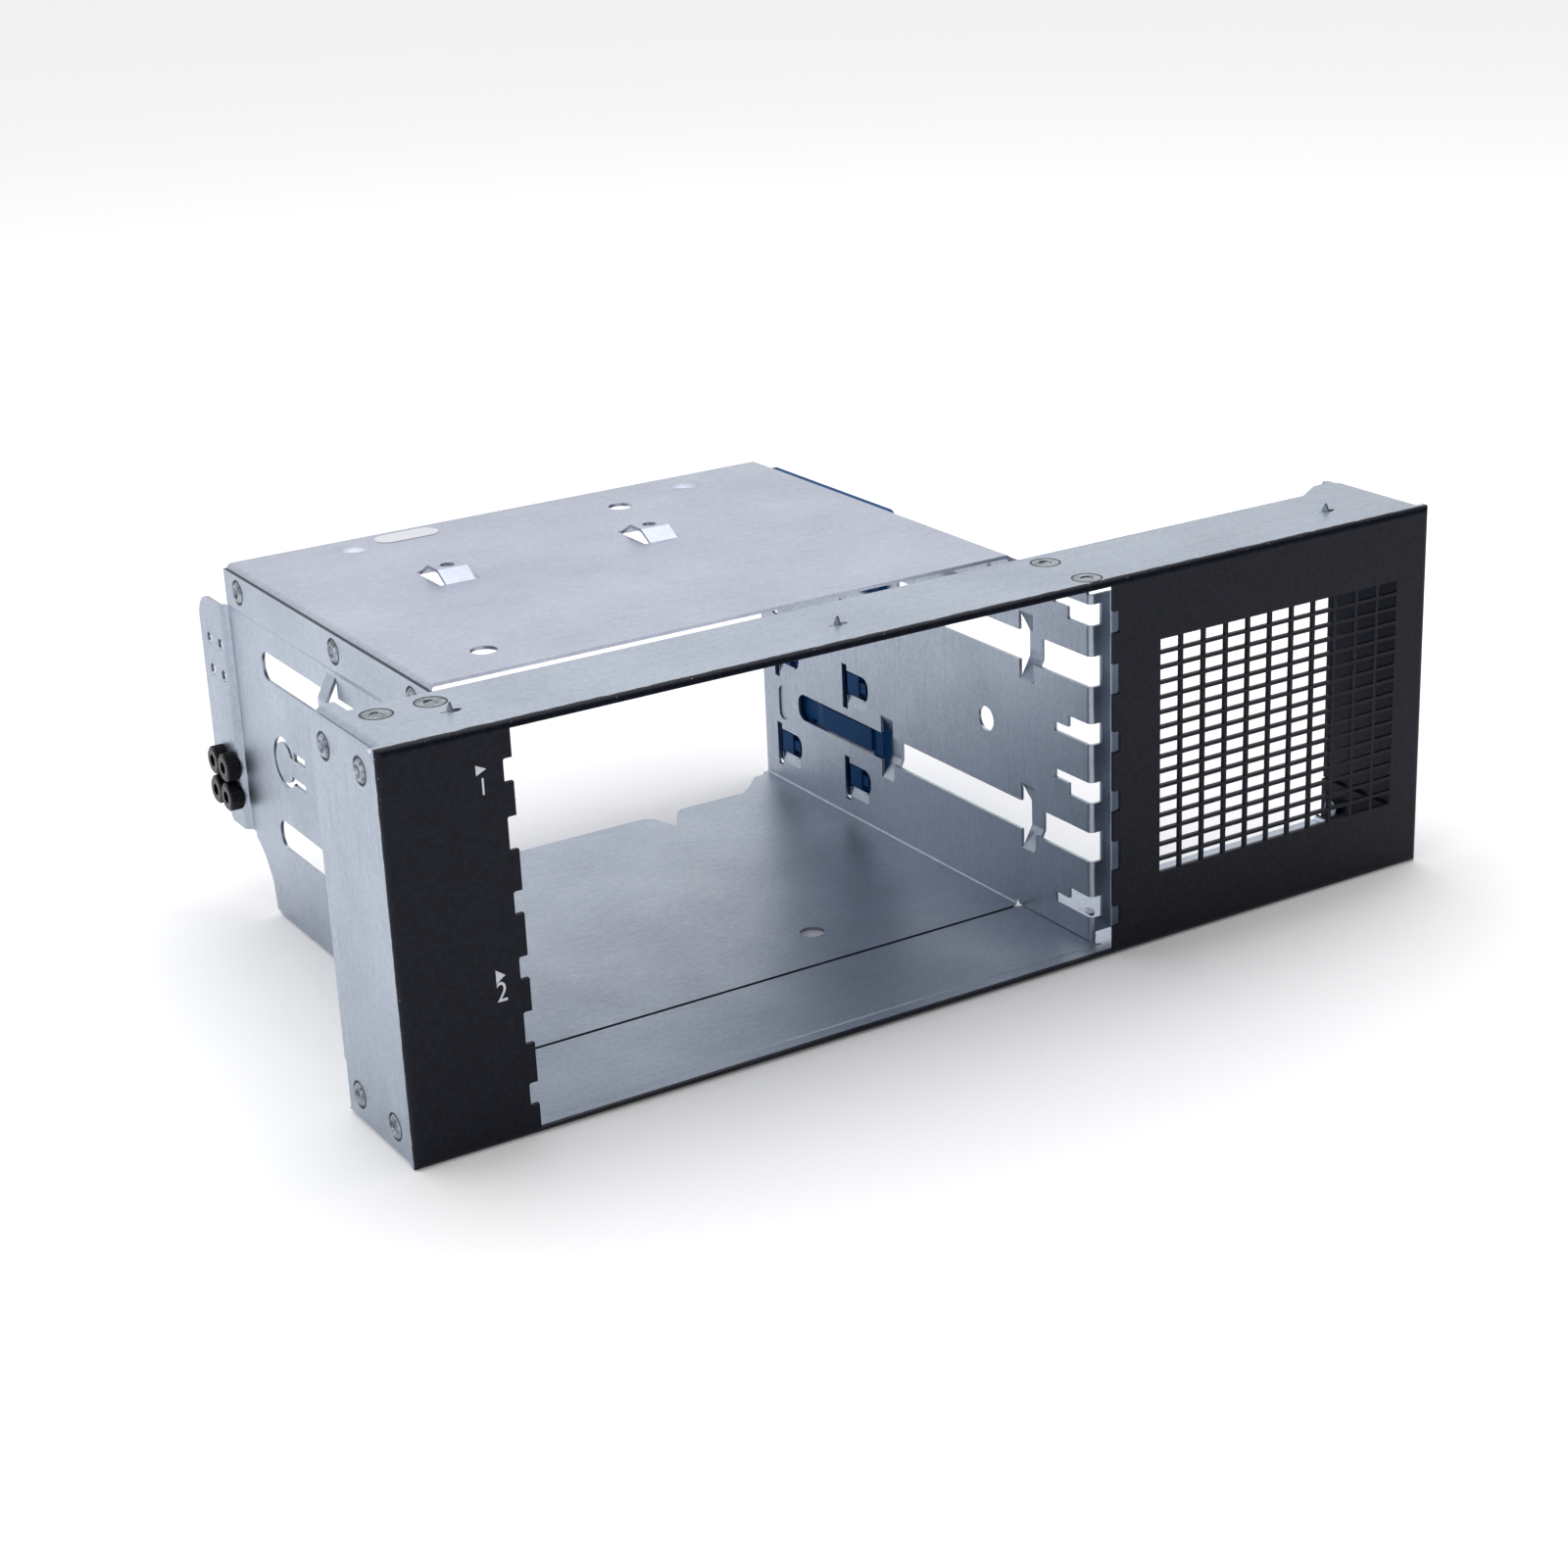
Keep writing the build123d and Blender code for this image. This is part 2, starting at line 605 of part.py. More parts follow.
    # tongue in the left wall, free on three sides
    with BuildSketch(Plane.YZ.offset(wall_left - cutter_margin)):
        tongue_y = front + tongue_place[0]
        with Locations((tongue_y, tongue_place[1])):
            Circle(tongue_radius + tongue_gap)
        for (start, end), (low, high) in tongue_slots:
            window((tongue_place[0] - start, tongue_place[0] - end),
                   (tongue_place[1] + low, tongue_place[1] + high))
        with Locations((tongue_y, tongue_place[1])):
            Circle(tongue_radius, mode=Mode.SUBTRACT)
        with Locations((tongue_y - tongue_radius - tongue_gap, tongue_place[1])):
            Rectangle(2 * tongue_radius, tongue_neck, mode=Mode.SUBTRACT)
    extrude(amount=cage_sheet + 2 * cutter_margin, mode=Mode.SUBTRACT)

    add(rear_ear.part)

# Top plate with its two down-flanges
with BuildPart() as top_plate:
    with BuildSketch(Plane.XZ.offset(-(front + plate_front))):
        folded([(wall_left, plate_flange_bottom), (wall_left, plate_top), (wall_right, plate_top),
                (wall_right, plate_flange_bottom)], plate_bend, plate_sheet, Side.RIGHT)
    extrude(amount=-(plate_rear - plate_front))
    plate_middle = plate_top - plate_sheet / 2

    # the right down-flange is open where it laps the upper windows of the wall
    with BuildSketch(Plane.YZ.offset(bay_right - cutter_margin)):
        latch_windows()
    extrude(amount=cage_sheet + 2 * cutter_margin, mode=Mode.SUBTRACT)

    # round holes, and lanced bridges that each hold a cable tie
    with BuildSketch(Plane.XY.offset(plate_top + cutter_margin)):
        for x, y in plate_hole_places:
            with Locations((wall_left + x, front + plate_front + y)):
                Circle(plate_hole / 2)
        for x, y in plate_bridge_places:
            with Locations((wall_left + x, front + plate_front + y)):
                Rectangle(plate_bridge_width, plate_bridge_length)
    extrude(amount=-(plate_sheet + 2 * cutter_margin), mode=Mode.SUBTRACT)
    for x, y in plate_bridge_places:
        bridge_x = wall_left + x
        bridge_y = front + plate_front + y
        half = plate_bridge_length / 2
        with BuildSketch(Plane.YZ.offset(bridge_x - plate_strap_width / 2)):
            folded_middle([(bridge_y - half - plate_sheet, plate_middle), (bridge_y - half, plate_middle),
                           (bridge_y - plate_strap_flat, plate_middle + plate_strap_rise),
                           (bridge_y + plate_strap_flat, plate_middle + plate_strap_rise),
                           (bridge_y + half, plate_middle), (bridge_y + half + plate_sheet, plate_middle)],
                          plate_bend, plate_sheet)
        extrude(amount=plate_strap_width)
        with Locations((bridge_x, bridge_y, plate_top + plate_strap_rise)):
            Cylinder(plate_strap_hole / 2, 3 * plate_sheet, mode=Mode.SUBTRACT)

    # pressed domes
    for x, y in dome_places:
        dome_x, dome_y = wall_left + x, front + plate_front + y
        cap(dome_x, dome_y, plate_top, dome_radius, dome_height)
        cap(dome_x, dome_y, plate_top - plate_sheet, dome_radius, dome_height, Mode.SUBTRACT)


for side, _, wall_face, _ in sides:
    strip_face = wall_face + side * cage_sheet
    holes = [Plane((strip_face, y, z), z_dir=(side, 0, 0)) for y, z in plate_rivet_places[side]]
    with cage_body:
        with Locations(*holes):
            CounterBoreHole(rivet_shank / 2 + rivet_clearance, rivet_head / 2 + rivet_seat, rivet_seat,
                            2 * cage_sheet + seam)
    with top_plate:
        with Locations(*holes):
            Hole(rivet_shank / 2 + rivet_clearance, 3 * cage_sheet)
with cage_body:
    with Locations(*[Plane((x, y, frame_height), z_dir=(0, 0, 1)) for x, y in top_rivet_places],
                   *[Plane((x, y, 0), z_dir=(0, 0, -1)) for x, y in bottom_rivet_places]):
        Hole(rivet_shank / 2 + rivet_clearance, 3 * frame_sheet)


def latch(height):
    """The moulded latch of one bay: a plate outside the right wall, a sprung arm and four hooks."""
    plate_x = wall_right + cage_sheet + latch_seat
    with BuildPart() as moulding:
        catch_rear = bridge_front + bridge_pitch + bridge_width + latch_gap + latch_catch_length
        arm_slot = latch_arm_height / 2 + latch_gap
        catch_slot = latch_catch_height / 2 + latch_gap
        with BuildSketch(Plane.YZ.offset(plate_x)) as outline:
            window((latch_front, latch_rear), (height - latch_height / 2, height + latch_height / 2),
                   latch_radius)
        extrude(outline.sketch, amount=latch_plate)
        with BuildSketch(Plane.YZ.offset(plate_x)) as slot:
            window((latch_front - cutter_margin, latch_arm_rear), (height - arm_slot, height + arm_slot))
            window((latch_front - cutter_margin, catch_rear + latch_gap),
                   (height - catch_slot, height + catch_slot))
        extrude(slot.sketch, amount=latch_plate, mode=Mode.SUBTRACT)

        # the arm lies in the guide slot and ends in a catch behind the bridge
        arm_face = wall_right + cage_sheet
        arm_inner = bay_right + latch_arm_sink
        arm_rear = front + latch_arm_rear
        outer_bend, inner_bend = latch_arm_bends
        with BuildSketch(Plane.XY.offset(height - latch_arm_height / 2)) as arm:
            with BuildLine() as line:
                Polyline((plate_x, arm_rear + latch_arm_root),
                         (plate_x + latch_plate, arm_rear + latch_arm_root),
                         (plate_x + latch_plate, arm_rear - outer_bend[0]),
                         (arm_face, arm_rear - outer_bend[1]),
                         (arm_face, front + catch_rear), (arm_inner, front + catch_rear),
                         (arm_inner, arm_rear - inner_bend[1]), (plate_x, arm_rear - inner_bend[0]), close=True)
            make_face(line.edges())
        extrude(arm.sketch, amount=latch_arm_height)
        catch_front = catch_rear - latch_catch_length
        box((wall_right + latch_seat, wall_right + latch_seat + latch_catch_width),
            (front + catch_front, front + catch_rear),
            (height - latch_catch_height / 2, height + latch_catch_height / 2))

        # a hook through each window
        for depth, window_low in window_places:
            low = height - lower_bay_height + window_low + latch_play
            hook_rear = front + depth + window_length - window_slit_width
            hook_tall = window_height - 2 * latch_play
            box((bay_right + latch_arm_sink, plate_x), (hook_rear - hook_body, hook_rear),
                (low, low + hook_tall))
            box((bay_right + latch_arm_sink + hook_nose_sink, plate_x),
                (front + depth + window_radius / 2 + latch_play, hook_rear - hook_body),
                (low + hook_tall / 4, low + 3 * hook_tall / 4))

        # clearance round the rear rivet of the right wall's strip
        with Locations(Plane((plate_x + latch_plate, front + plate_rivet_depths[1][-1],
                              height - bay_heights[-1] + plate_rivet_height), z_dir=(1, 0, 0))):
            Hole(rivet_head / 2 + latch_gap, latch_plate)
    return moulding


def rivet(place, grip, tail):
    """A domed rivet with a dimpled head, drawn down from the outer face of the sheets that it holds."""
    head = rivet_head / 2
    shank = rivet_shank / 2
    with BuildPart() as piece:
        with BuildSketch(Plane.XZ) as profile:
            with BuildLine() as line:
                Polyline((0, 0), (rivet_dimple_share[0] * head, 0),
                         (rivet_dimple_share[1] * head, rivet_head_height),
                         (rivet_crown_share * head, rivet_head_height), (head, -rivet_seat / 2),
                         (head, -rivet_seat), (shank, -rivet_seat), (shank, -grip))
                if tail:
                    Polyline((shank, -grip), (rivet_tail_width / 2, -grip),
                             (rivet_tail_width / 2, -grip - tail), (0, -grip - tail), (0, 0))
                else:
                    Polyline((shank, -grip), (0, -grip), (0, 0))
            make_face(line.edges())
        revolve(profile.sketch, axis=Axis.Z)
    return piece.part.moved(place.location)


def flush_rivet(place, grip):
    """A countersunk rivet that ends flush, with a shallow dimple and a formed tail."""
    head = flush_head / 2
    shank = rivet_shank / 2
    with BuildPart() as piece:
        with BuildSketch(Plane.XZ) as profile:
            with BuildLine() as line:
                Polyline((0, -flush_dimple), (flush_dimple_share[0] * head, -flush_dimple),
                         (flush_dimple_share[1] * head, 0), (head, 0),
                         (shank, -flush_depth), (shank, -grip), (rivet_tail_width / 2, -grip),
                         (rivet_tail_width / 2, -grip - flush_tail), (0, -grip - flush_tail), close=True)
            make_face(line.edges())
        revolve(profile.sketch, axis=Axis.Z)
    return piece.part.moved(place.location)


def socket_screw(place):
    """A socket-head screw, parked in the ear with its head outside."""
    with BuildPart() as piece:
        Cylinder(screw_head / 2, screw_head_height, align=(Align.CENTER, Align.CENTER, Align.MIN))
        chamfer(piece.edges().filter_by(GeomType.CIRCLE).group_by(Axis.Z)[-1], screw_chamfer)
        Cylinder(screw_shank / 2, screw_length, align=(Align.CENTER, Align.CENTER, Align.MAX))
        with BuildSketch(Plane.XY.offset(screw_head_height)) as socket:
            RegularPolygon(screw_socket / 2, 6, major_radius=False)
        extrude(socket.sketch, amount=-screw_head_height / 2, mode=Mode.SUBTRACT)
    return piece.part.moved(place.location)


latch_lower = latch(bay_heights[0])
latch_upper = latch(bay_heights[1])

with BuildPart() as label:
    with BuildSketch(Plane.XY.offset(plate_top)):
        with Locations((wall_left + label_place[0], front + plate_front + label_place[1])):
            SlotOverall(*label_size)
    extrude(amount=label_thickness)

pieces = {"front_frame": front_frame.part, "cage_body": cage_body.part, "top_plate": top_plate.part,
          "latch_lower": latch_lower.part, "latch_upper": latch_upper.part, "label": label.part}

side_names = {-1: "left", 1: "right"}
for side, flange_face, wall_face, _ in sides:
    for number, (y, z) in enumerate(side_rivet_places, 1):
        place = Plane((flange_face, y, z), z_dir=(side, 0, 0))
        pieces[f"{side_names[side]}_flange_rivet_{number}"] = rivet(place, 2 * frame_sheet + seam, rivet_tail)
    for number, (y, z) in enumerate(plate_rivet_places[side], 1):
        place = Plane((wall_face + side * cage_sheet, y, z), z_dir=(side, 0, 0))
        pieces[f"plate_rivet_{side_names[side]}_{number}"] = rivet(place, 2 * cage_sheet, 0)
flush_grip = frame_sheet + cage_sheet
for number, (x, y) in enumerate(top_rivet_places, 1):
    pieces[f"top_rivet_{number}"] = flush_rivet(Plane((x, y, frame_height), z_dir=(0, 0, 1)), flush_grip)
for number, (x, y) in enumerate(bottom_rivet_places, 1):
    pieces[f"bottom_rivet_{number}"] = flush_rivet(Plane((x, y, 0), z_dir=(0, 0, -1)), flush_grip)

ear_face = wall_left - ear_jog
screw_places = [(front + screw_centre[0] + a * screw_spacing[0] / 2, screw_centre[1] + b * screw_spacing[1] / 2)
                for a in (-1, 1) for b in (-1, 1)]
for number, (y, z) in enumerate(screw_places, 1):
    pieces[f"ear_screw_{number}"] = socket_screw(Plane((ear_face, y, z), z_dir=(-1, 0, 0)))

for name, part in pieces.items():
    part.label = name
    export_step(part, f"parts/{name}.step")
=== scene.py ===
# %% [markdown]
# # A server drive cage in zinc-plated steel
# The object is a folded sheet-metal cage: a black painted front with a grille, bare
# zinc-plated walls behind it, bright rivets and two moulded blue latches. Its solids are
# already right, so this lesson gives them their finishes, and adds only what is printed or
# too fine for the solids. It starts by loading them as a fixed frame that nothing moves.

# %% Load the fixed frame
import bmesh
import bpy
from math import radians
from mathutils import Euler, Matrix, Vector


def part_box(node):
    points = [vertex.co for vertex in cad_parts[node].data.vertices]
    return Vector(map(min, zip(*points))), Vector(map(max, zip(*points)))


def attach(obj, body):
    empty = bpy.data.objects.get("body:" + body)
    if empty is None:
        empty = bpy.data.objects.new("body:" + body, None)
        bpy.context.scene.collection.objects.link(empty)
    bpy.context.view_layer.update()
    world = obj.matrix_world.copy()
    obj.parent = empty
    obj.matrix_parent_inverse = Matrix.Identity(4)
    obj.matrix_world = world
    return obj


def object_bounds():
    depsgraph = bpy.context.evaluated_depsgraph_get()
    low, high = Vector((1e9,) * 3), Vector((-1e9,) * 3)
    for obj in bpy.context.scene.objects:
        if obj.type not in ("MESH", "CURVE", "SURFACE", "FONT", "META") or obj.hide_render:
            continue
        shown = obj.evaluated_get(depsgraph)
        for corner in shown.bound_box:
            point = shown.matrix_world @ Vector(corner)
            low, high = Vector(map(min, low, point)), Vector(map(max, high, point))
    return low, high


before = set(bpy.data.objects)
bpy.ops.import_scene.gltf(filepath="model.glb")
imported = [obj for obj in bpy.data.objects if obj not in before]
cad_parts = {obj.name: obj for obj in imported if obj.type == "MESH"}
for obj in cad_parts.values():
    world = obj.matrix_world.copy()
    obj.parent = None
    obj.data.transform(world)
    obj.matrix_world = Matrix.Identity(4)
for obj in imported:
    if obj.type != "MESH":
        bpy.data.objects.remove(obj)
mm = 0.001
cad_low, cad_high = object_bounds()
print("The cage measures", [round((high - low) / mm, 1) for low, high in zip(cad_low, cad_high)], "mm")

# %% [markdown]
# ## Colours and nodes
# A colour picked from a screen is an sRGB value, but the renderer works with linear light.
# One function turns one into the other, so every finish below can be written as a hex value.
# A second one fills a node's inputs, and a third adds a node with its settings and its links.

# %% Helpers for every material
def linear(hex_colour):
    """The linear colour of an sRGB hex value."""
    channels = [int(hex_colour[place:place + 2], 16) / 255 for place in (1, 3, 5)]
    return (*(c / 12.92 if c <= 0.04045 else ((c + 0.055) / 1.055) ** 2.4 for c in channels), 1.0)


def feed(material, node, **inputs):
    """Gives a node's inputs, by name or by number such as i0, a value, a socket or a node's first output."""
    for name, value in inputs.items():
        socket = node.inputs[int(name[1:])] if name[1:].isdigit() else node.inputs[name.replace("_", " ")]
        if isinstance(value, bpy.types.Node):
            value = next(output for output in value.outputs if output.enabled)
        if isinstance(value, bpy.types.NodeSocket):
            material.node_tree.links.new(value, socket)
        else:
            socket.default_value = value


def add_node(material, kind, settings=None, **inputs):
    """A new node of one kind, with its settings and its inputs."""
    node = material.node_tree.nodes.new("ShaderNode" + kind)
    for name, value in (settings or {}).items():
        setattr(node, name, value)
    feed(material, node, **inputs)
    return node


def new_material(name):
    """A new material, its surface shader, and the object coordinates that its patterns read."""
    material = bpy.data.materials.new(name)
    material.use_nodes = True
    place = add_node(material, "TexCoord").outputs["Object"]
    return material, material.node_tree.nodes["Principled BSDF"], place


def give_finish(node, finish):
    """A solid's finish, in place of the plain one that it was loaded with."""
    node.data.materials.clear()
    node.data.materials.append(finish)
    print(node.name, "is finished in", finish.name)


print("Mid grey #808080 is", round(linear("#808080")[0], 3), "in linear light")

# %% [markdown]
# ## Zinc-plated steel
# The sheets are cold-rolled steel with a thin zinc coat. Rolling leaves a fine grain that runs
# along the strip, and the coat gives it a soft bluish shine. An image of brushed metal would be
# quick, but a noise that is stretched along the grain works at any scale and on every face.
# Real rolling marks are finer than a pixel, so they are drawn about 0.35 mm wide. Handling
# leaves a few long faint scratches, which cross the grain.

# %% The rolled grain, shared by every bare sheet
streak_width, streak_length = 0.35 * mm, 6 * mm
speckle_size = 0.6 * mm
cloud_size = 14 * mm
scratch_width, scratch_length = 0.2 * mm, 14 * mm
scratch_turn = 24            # degrees from the grain
scratch_grey = "#6A7079"


def rolled_sheet(material, place, dark, light):
    """Colour, roughness and relief of zinc-plated sheet: streaks, speckle, clouds and rare scratches."""
    along = add_node(material, "Mapping", Vector=place,
                     Scale=[0.5 / size for size in (streak_length, streak_width, streak_length)])
    streaks = add_node(material, "TexNoise", Vector=along, Scale=1.0, Detail=3.0)
    speckle = add_node(material, "TexNoise", Vector=place, Scale=0.5 / speckle_size, Detail=3.0)
    clouds = add_node(material, "TexNoise", Vector=place, Scale=0.5 / cloud_size, Detail=2.0)
    tone = add_node(material, "Math", {"operation": "MULTIPLY_ADD"}, i0=streaks, i1=0.6, i2=speckle)
    tone = add_node(material, "Math", {"operation": "ADD"}, i0=tone, i1=clouds)
    amount = add_node(material, "MapRange", i0=tone, i1=0.95, i2=1.65)
    colour = add_node(material, "Mix", {"data_type": "RGBA"}, i0=amount, i6=linear(dark), i7=linear(light))
    turned = add_node(material, "Mapping", Vector=place, Rotation=(0, 0, radians(scratch_turn)))
    drawn = add_node(material, "Mapping", Vector=turned,
                     Scale=[0.5 / size for size in (scratch_length, scratch_width, scratch_length)])
    scratches = add_node(material, "TexNoise", Vector=drawn, Scale=1.0, Detail=0.0)
    marks = add_node(material, "MapRange", i0=scratches, i1=0.78, i2=0.82, i3=0.0, i4=0.28)
    colour = add_node(material, "Mix", {"data_type": "RGBA"}, i0=marks, i6=colour, i7=linear(scratch_grey))
    rough = add_node(material, "MapRange", i0=tone, i1=0.9, i2=1.7, i3=0.42, i4=0.37)
    return colour, rough, speckle


print("Grain", streak_width / mm, "mm wide and", streak_length / mm, "mm long")

# %% [markdown]
# ## Sheared ends in painted shade
# Where the sheet was cut there is no zinc, so a cut end is bare steel. It is drawn much darker
# than bare steel, as painted shade: the dark line of the crevice over the walls' upper strips and
# of the gap in front of the floor. A separate strip of dark metal could show it, but an end is a
# plane, so the material finds it by place: points a hair from that plane, on faces that look
# along its axis. The walls' upper strips and the floor's front edge are the ends one sees.

# %% Zinc-plated walls and cover, with painted shade on the sheared ends
# The sheared ends' grey is far darker than bare steel: painted shade of the crevice beside each end.
shaded_end_grey = "#33363D"
end_margin = 0.1 * mm
zinc_dark, zinc_light = "#99A2AF", "#ADB6C3"
cover_dark, cover_light = "#A6ABBA", "#B8BDCC"
strip_height = 87.0 * mm
floor_start = 36.0 * mm
front_low, front_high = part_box("front_frame")
shaded_sheared_ends = (("Z", front_low.z + strip_height, 1), ("Y", front_low.y + floor_start, -1))


def zinc_steel(name, dark, light, ends=()):
    """Zinc-plated sheet steel: metallic and satin, with its sheared ends bare and dark as painted shade."""
    material, shader, place = new_material(name)
    colour, rough, height = rolled_sheet(material, place, dark, light)
    where = add_node(material, "SeparateXYZ", Vector=place)
    facing = add_node(material, "SeparateXYZ", Vector=add_node(material, "NewGeometry").outputs["Normal"])
    for axis, plane, sign in ends:
        near = add_node(material, "Math", {"operation": "COMPARE"},
                        i0=where.outputs[axis], i1=plane, i2=end_margin)
        outward = add_node(material, "Math", {"operation": "MULTIPLY"}, i0=facing.outputs[axis], i1=sign)
        looking = add_node(material, "Math", {"operation": "GREATER_THAN"}, i0=outward, i1=0.7)
        cut = add_node(material, "Math", {"operation": "MULTIPLY"}, i0=near, i1=looking)
        # Painted shade: each sheared end takes the dark grey of the crevice beside it.
        colour = add_node(material, "Mix", {"data_type": "RGBA"}, i0=cut, i6=colour, i7=linear(shaded_end_grey))
    relief = add_node(material, "Bump", Strength=0.08, Distance=0.05 * mm, Height=height)
    feed(material, shader, Base_Color=colour, Roughness=rough, Normal=relief, Metallic=1.0)
    return material


give_finish(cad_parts["cage_body"],
            zinc_steel("zinc_plated_walls", zinc_dark, zinc_light, shaded_sheared_ends))
give_finish(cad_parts["top_plate"], zinc_steel("zinc_plated_cover", cover_dark, cover_light))

# %% [markdown]
# ## Black powder coat over zinc
# The front is powder coated from outside. The powder melts to a fine orange peel, stops just
# behind the front's bends, and leaves the flanges bare, apart from the right one, which is
# black too. Two materials on one sheet would need its mesh to be cut, so one material holds
# both finishes and chooses between them by where a point lies. The face's inner side looks
# backwards and stays bare. Along the bends the coat is thin, and tiny nicks show the metal.

# %% Where the front is painted
paint_wrap = 1.5 * mm
ragged_size = 2 * mm
nick_size = 0.3 * mm
painted_flange = 2.2 * mm
flange_paint_top = 89.2 * mm
coat, coat_shader, coat_place = new_material("powder_coat_over_zinc")
where = add_node(coat, "SeparateXYZ", Vector=coat_place)
facing = add_node(coat, "SeparateXYZ", Vector=add_node(coat, "NewGeometry").outputs["Normal"])

ragged = add_node(coat, "TexNoise", Vector=coat_place, Scale=0.5 / ragged_size, Detail=2.0)
paint_end = add_node(coat, "MapRange", i0=ragged, i1=0.3, i2=0.7,
                     i3=front_low.y + 0.85 * paint_wrap, i4=front_low.y + 1.15 * paint_wrap)
in_front = add_node(coat, "Math", {"operation": "LESS_THAN"}, i0=where.outputs["Y"], i1=paint_end)
outside = add_node(coat, "Math", {"operation": "LESS_THAN"}, i0=facing.outputs["Y"], i1=0.7)
on_face = add_node(coat, "Math", {"operation": "MULTIPLY"}, i0=in_front, i1=outside)

chips = add_node(coat, "TexNoise", Vector=coat_place, Scale=0.5 / nick_size, Detail=2.0)
whole = add_node(coat, "Math", {"operation": "LESS_THAN"}, i0=chips, i1=0.74)
flat = add_node(coat, "Math", {"operation": "LESS_THAN"},
                i0=where.outputs["Y"], i1=front_low.y + 0.2 * paint_wrap)
sound = add_node(coat, "Math", {"operation": "MAXIMUM"}, i0=whole, i1=flat)
painted = add_node(coat, "Math", {"operation": "MULTIPLY"}, i0=on_face, i1=sound)

at_right = add_node(coat, "Math", {"operation": "GREATER_THAN"},
                    i0=where.outputs["X"], i1=front_high.x - painted_flange)
below_top = add_node(coat, "Math", {"operation": "LESS_THAN"},
                     i0=where.outputs["Z"], i1=front_low.z + flange_paint_top)
on_flange = add_node(coat, "Math", {"operation": "MULTIPLY"}, i0=at_right, i1=below_top)
painted = add_node(coat, "Math", {"operation": "MAXIMUM"}, i0=painted, i1=on_flange)
print("Paint wraps", round(paint_wrap / mm, 2), "mm round the front's bends")

# %% [markdown]
# ## The two finishes of the front
# Powder coat is a pigmented polymer, so it is not metallic: a near-black colour under a satin
# skin that ripples about every half millimetre. Its specular level is kept low, because the
# matt powder scatters most of what it would mirror, and that keeps the face deep and dark.

# %% Paint and metal on one sheet
peel_size = 0.5 * mm
zinc, zinc_rough, zinc_relief = rolled_sheet(coat, coat_place, zinc_dark, zinc_light)
peel = add_node(coat, "TexNoise", Vector=coat_place, Scale=0.5 / peel_size, Detail=2.0)
depth = add_node(coat, "MapRange", i0=peel, i1=0.35, i2=0.65)
black = add_node(coat, "Mix", {"data_type": "RGBA"}, i0=depth, i6=linear("#0A0C17"), i7=linear("#131725"))
colour = add_node(coat, "Mix", {"data_type": "RGBA"}, i0=painted, i6=zinc, i7=black)
metal = add_node(coat, "Math", {"operation": "SUBTRACT"}, i0=1.0, i1=painted)
rough = add_node(coat, "Mix", {"data_type": "FLOAT"}, i0=painted, i2=zinc_rough, i3=0.36)
height = add_node(coat, "Mix", {"data_type": "FLOAT"}, i0=painted, i2=zinc_relief, i3=peel)
relief = add_node(coat, "Bump", Strength=0.2, Distance=0.05 * mm, Height=height)
feed(coat, coat_shader, Base_Color=colour, Metallic=metal, Roughness=rough, Normal=relief,
     Specular_IOR_Level=0.15)
give_finish(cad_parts["front_frame"], coat)

# %% [markdown]
# ## Bright rivets
# The rivets are steel with a bright plating. The riveting tool squeezes each head and leaves
# it polished, with faint marks, so it mirrors the room far more sharply than the sheet does.

# %% Bright-plated steel
tool_mark = 2 * mm
rivet_steel, rivet_shader, rivet_place = new_material("bright_plated_steel")
marks = add_node(rivet_steel, "TexNoise", Vector=rivet_place, Scale=1 / tool_mark, Detail=3.0)
worn = add_node(rivet_steel, "MapRange", i0=marks, i1=0.35, i2=0.65)
tone = add_node(rivet_steel, "Mix", {"data_type": "RGBA"},
                i0=worn, i6=linear("#59606A"), i7=linear("#A0A7B1"))
gloss = add_node(rivet_steel, "MapRange", i0=marks, i1=0.3, i2=0.7, i3=0.12, i4=0.26)
feed(rivet_steel, rivet_shader, Base_Color=tone, Roughness=gloss, Metallic=1.0)
for name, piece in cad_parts.items():
    if "rivet" in name:
        give_finish(piece, rivet_steel)

# %% [markdown]
# ## Black oxide screws
# The four spare screws are blackened steel. Black oxide is a thin layer that the steel still
# shines through, so it is partly metallic, dark and satin.

# %% Black oxide on steel
bloom_size = 0.6 * mm
black_oxide, oxide_shader, oxide_place = new_material("black_oxide_steel")
bloom = add_node(black_oxide, "TexNoise", Vector=oxide_place, Scale=1 / bloom_size, Detail=3.0)
tone = add_node(black_oxide, "Mix", {"data_type": "RGBA"},
                i0=bloom, i6=linear("#0C0D0F"), i7=linear("#1E2025"))
gloss = add_node(black_oxide, "MapRange", i0=bloom, i1=0.3, i2=0.7, i3=0.30, i4=0.42)
feed(black_oxide, oxide_shader, Base_Color=tone, Roughness=gloss, Metallic=0.6)
for name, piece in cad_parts.items():
    if "screw" in name:
        give_finish(piece, black_oxide)

# %% [markdown]
# ## Moulded blue latches
# The latches are injection-moulded ABS in a deep blue. A spark-eroded mould gives a very fine
# matt texture, and the flow of the plastic leaves slow, faint changes of tone.

# %% Moulded ABS
erosion_size = 0.3 * mm
flow_size = 12 * mm
blue_abs, abs_shader, abs_place = new_material("moulded_blue_abs")
erosion = add_node(blue_abs, "TexNoise", Vector=abs_place, Scale=1 / erosion_size, Detail=2.0)
flow = add_node(blue_abs, "TexNoise", Vector=abs_place, Scale=1 / flow_size, Detail=1.0)
tone = add_node(blue_abs, "Mix", {"data_type": "RGBA"}, i0=flow, i6=linear("#01355F"), i7=linear("#044E88"))
relief = add_node(blue_abs, "Bump", Strength=0.15, Distance=0.02 * mm, Height=erosion)
feed(blue_abs, abs_shader, Base_Color=tone, Normal=relief, Roughness=0.55, IOR=1.53, Specular_IOR_Level=0.08)
for name in ("latch_lower", "latch_upper"):
    give_finish(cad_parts[name], blue_abs)

# %% [markdown]
# ## Blank label
# The label is a blank polyester film: greyish white, smooth and slightly glossy.

